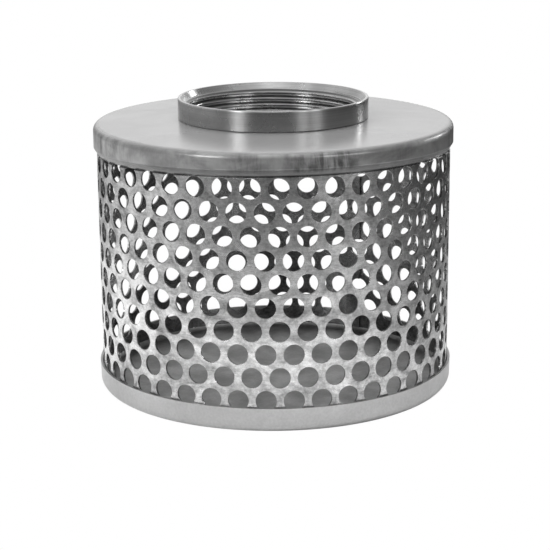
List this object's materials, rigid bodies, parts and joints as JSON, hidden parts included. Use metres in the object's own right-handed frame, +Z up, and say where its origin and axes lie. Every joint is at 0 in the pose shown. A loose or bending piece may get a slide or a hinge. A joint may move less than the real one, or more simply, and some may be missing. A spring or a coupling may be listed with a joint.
{
  "type": "suction strainer",
  "caption": "Round hole suction strainer: a perforated sheet drum with a pressed pan below and a pressed cap above that carries a low threaded collar.",
  "frame": {"origin": "centre of the underside of the bottom pan, on the strainer's axis", "axes": "+Z up along the strainer's axis and out of the threaded collar; -Y towards the side opposite the sheet's lap seam"},
  "size_m": [0.123, 0.123, 0.0997],
  "materials": {
    "collar_steel": "turned, bright",
    "cap_steel": "satin zinc plate",
    "sheet_steel": "mottled zinc",
    "pan_steel": "matt zinc"
  },
  "bodies": {
    "root": {"threaded_collar": "collar_steel", "top_cap": "cap_steel", "perforated_body": "sheet_steel", "bottom_pan": "pan_steel"}
  },
  "joints": []
}
